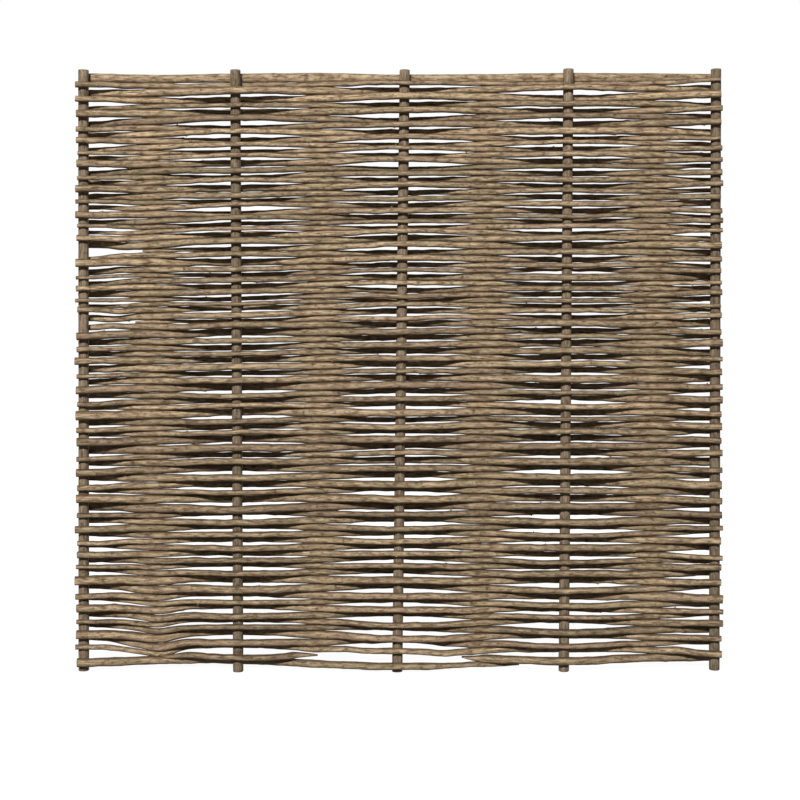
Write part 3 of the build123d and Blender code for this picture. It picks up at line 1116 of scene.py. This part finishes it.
@dataclass(frozen=True)
class HazelBark:
    """Weathered hazel bark, with grey wood where it is sawn and paler wood where the bark has come off."""

    name: str
    pale: Colour
    middle: Colour
    dark: Colour
    olive: Colour
    pink: Colour
    wood: Colour
    bare_wood: Colour
    painted_crease_shade: float = 0.0  # how far painted shade darkens the upper and lower sides, where rods touch
    relief: float = 0.5 * MM
    roughness: float = 0.85
    gloss: float = 0.2
    streaks: Pattern = Pattern(30.0, 250.0)
    fibres: Pattern = Pattern(70.0, 1100.0, detail=2.0)
    patches: Pattern = Pattern(16.0, 42.0, detail=4.0)
    blotches: Pattern = Pattern(52.0, 125.0, detail=4.0)
    specks: Pattern = Pattern(150.0, 260.0)
    pores: Pattern = Pattern(330.0, 420.0)
    bleached: Layer = Layer(0.28, 0.74)  # streaks
    pinkish: Layer = Layer(0.52, 0.80, share=0.4)  # patches
    greenish: Layer = Layer(0.48, 0.22, share=0.4)  # patches
    stain: Layer = Layer(0.50, 0.66, share=0.6)  # blotches
    crack: Layer = Layer(0.60, 0.74, share=0.35)  # fibres
    dark_speck: Layer = Layer(0.32, 0.2, share=0.75)  # distance to the middle of a speck
    few_specks: Layer = Layer(0.72, 0.76)  # a speck's own colour, which picks some of them
    pale_pore: Layer = Layer(0.26, 0.16, share=0.3)  # distance to the middle of a pore
    knot_scar: Layer = Layer(0.12, 0.75, share=0.6)  # the knots' mask
    level: Layer = Layer(0.35, 0.95)  # how far the surface faces up or down, over which the painted shade grows
    fleck: Layer = Layer(0.4, 0.7, share=0.5)  # streaks, on bare wood
    saw_marks: Layer = Layer(0.42, 0.66)  # fibres, on sawn wood
    warmth_share: float = 0.3  # of a pole's warmth, against the patches
    tone_share: float = 0.28  # by which a pole's tone makes it paler
    streak_height: float = 0.5
    blotch_height: float = 0.5
    crack_depth: float = 0.3
    pore_height: float = 0.15

    def material(self) -> Material:
        """Builds the node material.

        The bark mixes its pale and middle colours by streaks along the grain, turns olive or pink from patch
        to patch and pole to pole, and darkens in blotches, in fine cracks, at specks and at knots. Painted
        shade darkens its upper and lower sides. Pores are pale.

        Returns:
            The new material.
        """
        make = Shading(self.name)
        grain, knot, cut = (make.carried(kind) for kind in (Carried.GRAIN, Carried.KNOT, Carried.CUT))
        patterns = (self.streaks, self.fibres, self.patches, self.blotches)
        streaks, fibres, patches, blotches = (make.noise(grain, pattern) for pattern in patterns)
        speck_distance, speck_colour = make.spots(grain, self.specks)
        chosen = make.step(speck_colour, self.few_specks)
        specks = make.math("MULTIPLY", make.step(speck_distance, self.dark_speck), chosen)
        cracks = make.step(fibres, self.crack)
        pores = make.step(make.spots(grain, self.pores)[0], self.pale_pore)
        warmth = make.math("MULTIPLY_ADD", make.carried(Carried.WARMTH), self.warmth_share, patches)
        # how far the surface faces up or down, which masks the painted shade
        normal = make.add("ShaderNodeNewGeometry", {}).outputs["Normal"]
        upright = make.math("ABSOLUTE", make.add("ShaderNodeSeparateXYZ", {0: normal}).outputs["Z"])
        layers = (
            (make.step(warmth, self.pinkish), self.pinkish.share, self.pink),
            (make.step(warmth, self.greenish), self.greenish.share, self.olive),
            (make.step(blotches, self.stain), self.stain.share, self.dark),
            (cracks, self.crack.share, self.dark),
            (specks, self.dark_speck.share, self.dark),
            (pores, self.pale_pore.share, self.pale),
            (make.step(knot, self.knot_scar), self.knot_scar.share, self.dark),
            # painted shade: the sides that face up or down are darkened
            (make.step(upright, self.level), self.painted_crease_shade, self.dark),
        )
        bark = make.mix(make.step(streaks, self.bleached), self.middle, self.pale)
        for mask, share, colour in layers:
            bark = make.mix(make.math("MULTIPLY", mask, share), bark, colour)
        light = make.math("MULTIPLY_ADD", make.carried(Carried.TONE), self.tone_share, 1.0)
        grey = make.add("ShaderNodeCombineColor", {0: light, 1: light, 2: light}).outputs[0]
        bark = make.mix(1.0, bark, grey, "MULTIPLY")
        flecks = make.math("MULTIPLY", make.step(streaks, self.fleck), self.fleck.share)
        bark = make.mix(make.carried(Carried.BARE), bark, make.mix(flecks, self.bare_wood, self.middle))
        sawn = make.mix(make.step(fibres, self.saw_marks), self.wood, self.middle)
        height = make.math("MULTIPLY", blotches, self.blotch_height)
        height = make.math("MULTIPLY_ADD", streaks, self.streak_height, height)
        height = make.math("SUBTRACT", height, make.math("MULTIPLY", cracks, self.crack_depth))
        height = make.math("MULTIPLY_ADD", pores, self.pore_height, height)
        plain = {"Roughness": self.roughness, "Specular IOR Level": self.gloss}
        return make.finish(make.mix(cut, bark, sawn), height, self.relief, plain)


@dataclass(frozen=True)
class NailSteel:
    """Dull steel with thin rust."""

    name: str = "nail_steel"
    steel: Colour = (0.30, 0.29, 0.28)
    rust: Colour = (0.17, 0.075, 0.035)
    spots: Pattern = Pattern(420.0, 420.0, detail=4.0)
    pits: Pattern = Pattern(1800.0, 1800.0, detail=2.0)
    rusty: Layer = Layer(0.42, 0.62)  # spots
    pit_depth: float = 0.3
    relief: float = 0.1 * MM
    roughness: float = 0.55
    metal: float = 0.6

    def material(self) -> Material:
        """Builds the node material: steel that turns to rust from spot to spot.

        Returns:
            The new material.
        """
        make = Shading(self.name)
        place = make.carried(Carried.GRAIN)
        spots, pits = make.noise(place, self.spots), make.noise(place, self.pits)
        colour = make.mix(make.step(spots, self.rusty), self.steel, self.rust)
        height = make.math("MULTIPLY_ADD", pits, self.pit_depth, spots)
        return make.finish(colour, height, self.relief, {"Roughness": self.roughness, "Metallic": self.metal})


@dataclass(frozen=True)
class Lamp:
    """A soft lamp that faces a point."""

    name: str
    place: Vector
    size: tuple[float, float]  # its width and height
    power: float  # in watts
    aim: Vector = (0.0, 0.0, 0.85)

    def hang(self) -> None:
        """Adds the lamp to the scene, turned to its aim."""
        data = bpy.data.lights.new(self.name, "AREA")
        data.shape = "RECTANGLE"
        data.size, data.size_y = self.size
        data.energy = self.power
        lamp = bpy.data.objects.new(self.name, data)
        lamp.location = self.place
        away = np.array(self.place) - np.array(self.aim)
        tilt = np.arctan2(np.hypot(away[0], away[1]), away[2])
        lamp.rotation_euler = (tilt, 0.0, np.arctan2(away[0], -away[1]))
        bpy.context.scene.collection.objects.link(lamp)


@dataclass
class Studio:
    """The plain pale floor, the soft lights and the camera at the photograph's viewing angle."""

    photo_pixels: float = 800.0
    eye_row: float = 330.0  # the photograph's row at the camera's own height
    level_row: float = 338.0  # the row that shows the height below at the front of the weave
    level_height: float = 0.935
    eye_x: float = 0.0078
    pixel_size: float = 2.782 * MM  # at the front of the weave
    distance: float = 3.8  # from the camera to the front of the weave
    sensor: float = 36.0
    front_of_weave: float = -0.031
    daylight: float = 0.06  # the world's even light on the panel
    lamps: tuple[Lamp, ...] = (
        Lamp("key", (-2.0, -8.4, 5.0), (2.0, 0.7), 1000.0),
        Lamp("back", (1.5, 4.2, 3.0), (2.5, 2.5), 130.0),
    )
    floor_size: float = 60.0
    floor_grey: float = 0.16
    floor_white: float = 0.92  # the floor's own white beside the panel
    added_white: float = 0.08  # what it has more far away
    clear_floor: Layer = Layer(0.5, 3.0)  # distance from the panel, over which the white rises

    def camera(self) -> None:
        """Adds the camera, level and square to the panel.

        Its lens is distance times sensor over the width that the picture covers, and its shift lays the
        picture's middle row below the row at its own height.
        """
        data = bpy.data.cameras.new("camera")
        data.sensor_width = self.sensor
        data.lens = self.distance * self.sensor / (self.photo_pixels * self.pixel_size)
        data.shift_y = (self.eye_row - self.photo_pixels / 2.0) / self.photo_pixels
        camera = bpy.data.objects.new("camera", data)
        eye_height = self.level_height + (self.level_row - self.eye_row) * self.pixel_size
        camera.location = (self.eye_x, self.front_of_weave - self.distance, eye_height)
        camera.rotation_euler = (np.pi / 2.0, 0.0, 0.0)
        bpy.context.scene.collection.objects.link(camera)
        bpy.context.scene.camera = camera

    def seen_directly(self, tree: bpy.types.NodeTree) -> Socket:
        """Is 1 for what the camera sees, also in gloss and through glass, and 0 for light on the panel.

        Args:
            tree: The node tree of a material or of the world.

        Returns:
            The value.
        """
        ray = tree.nodes.new("ShaderNodeLightPath")
        value = ray.outputs["Is Camera Ray"]
        for name in ("Is Glossy Ray", "Is Transmission Ray"):
            either = tree.nodes.new("ShaderNodeMath")
            either.operation = "MAXIMUM"
            tree.links.new(value, either.inputs[0])
            tree.links.new(ray.outputs[name], either.inputs[1])
            value = either.outputs[0]
        return value

    def world(self) -> None:
        """Gives the world a weak even light, and shows it white to the camera, in gloss and through glass."""
        world = bpy.data.worlds.new("studio")
        world.use_nodes = True
        bpy.context.scene.world = world
        tree = world.node_tree
        strength = tree.nodes.new("ShaderNodeMapRange")
        strength.inputs["To Min"].default_value = self.daylight
        tree.links.new(self.seen_directly(tree), strength.inputs["Value"])
        background = tree.nodes["Background"]
        background.inputs["Color"].default_value = (1.0, 1.0, 1.0, 1.0)
        tree.links.new(strength.outputs["Result"], background.inputs["Strength"])

    def floor(self) -> None:
        """Lays the pale floor.

        Its lit grey and its own white, which only the camera, gloss and glass see, are white together where
        no shadow falls. The own white grows with the distance from the panel, where less lamp light reaches.
        """
        bpy.ops.mesh.primitive_grid_add(x_subdivisions=2, y_subdivisions=2, size=self.floor_size)
        floor = bpy.context.object
        floor.name = "studio_floor"
        make = Shading("studio_floor")
        place = make.add("ShaderNodeTexCoord", {}).outputs["Object"]
        away = make.add("ShaderNodeVectorMath", {0: place}, operation="LENGTH").outputs["Value"]
        clear = make.step(away, self.clear_floor)
        own = make.math("MULTIPLY_ADD", clear, self.added_white, self.floor_white)
        strength = make.math("MULTIPLY", own, self.seen_directly(make.tree))
        glow = make.add("ShaderNodeEmission", {"Strength": strength})
        matt = make.add("ShaderNodeBsdfDiffuse", {"Color": (self.floor_grey,) * 3})
        both = make.add("ShaderNodeAddShader", {0: matt.outputs[0], 1: glow.outputs[0]})
        make.add("ShaderNodeOutputMaterial", {"Surface": both.outputs[0]})
        floor.data.materials.append(make.material)

    def make(self) -> None:
        """Sets up the whole studio."""
        self.camera()
        self.world()
        self.floor()
        for lamp in self.lamps:
            lamp.hang()
        bpy.context.scene.view_settings.view_transform = "Standard"


def main() -> None:
    """Builds every piece, in order."""
    logging.basicConfig(level=logging.INFO, format="%(name)s: %(message)s")
    Studio().make()
    rod_bark = HazelBark(
        "hazel_rod_bark",
        pale=(0.61, 0.455, 0.285),
        middle=(0.146, 0.092, 0.047),
        dark=(0.046, 0.025, 0.011),
        olive=(0.25, 0.20, 0.115),
        pink=(0.27, 0.18, 0.125),
        wood=(0.36, 0.29, 0.20),
        bare_wood=(0.55, 0.46, 0.33),
        # painted shade on the rods' upper and lower sides
        painted_crease_shade=0.8,
    )
    stake_bark = HazelBark(
        "hazel_stake_bark",
        pale=(0.36, 0.275, 0.185),
        middle=(0.135, 0.093, 0.057),
        dark=(0.04, 0.024, 0.013),
        olive=(0.18, 0.145, 0.085),
        pink=(0.20, 0.135, 0.09),
        wood=(0.36, 0.29, 0.20),
        bare_wood=(0.52, 0.42, 0.28),
    )
    # the rail has less painted shade on its upper and lower sides
    rail_bark = replace(rod_bark, name="hazel_rail_bark", painted_crease_shade=0.25)
    rods = rod_bark.material()
    stakes = stake_bark.material()
    pieces = Weave().make(rods)
    peeled = {"stake_5": PeeledStrip(low=0.006, high=0.05, angle=-0.1, half_width=0.45)}
    for node in sorted(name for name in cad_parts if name.startswith("stake_")):
        pieces.append(Stake(node, peeled.get(node)).make(stakes))
    pieces.append(TopRail().make(rail_bark.material()))
    pieces.append(RailNails().make(NailSteel().material()))
    total = 0
    for piece in pieces:
        count = sum(len(face.vertices) - 2 for face in piece.data.polygons)
        total += count
        log.info("%s: %d triangles", piece.name, count)
    log.info("%d pieces, %d triangles", len(pieces), total)


if __name__ == "__main__":
    main()
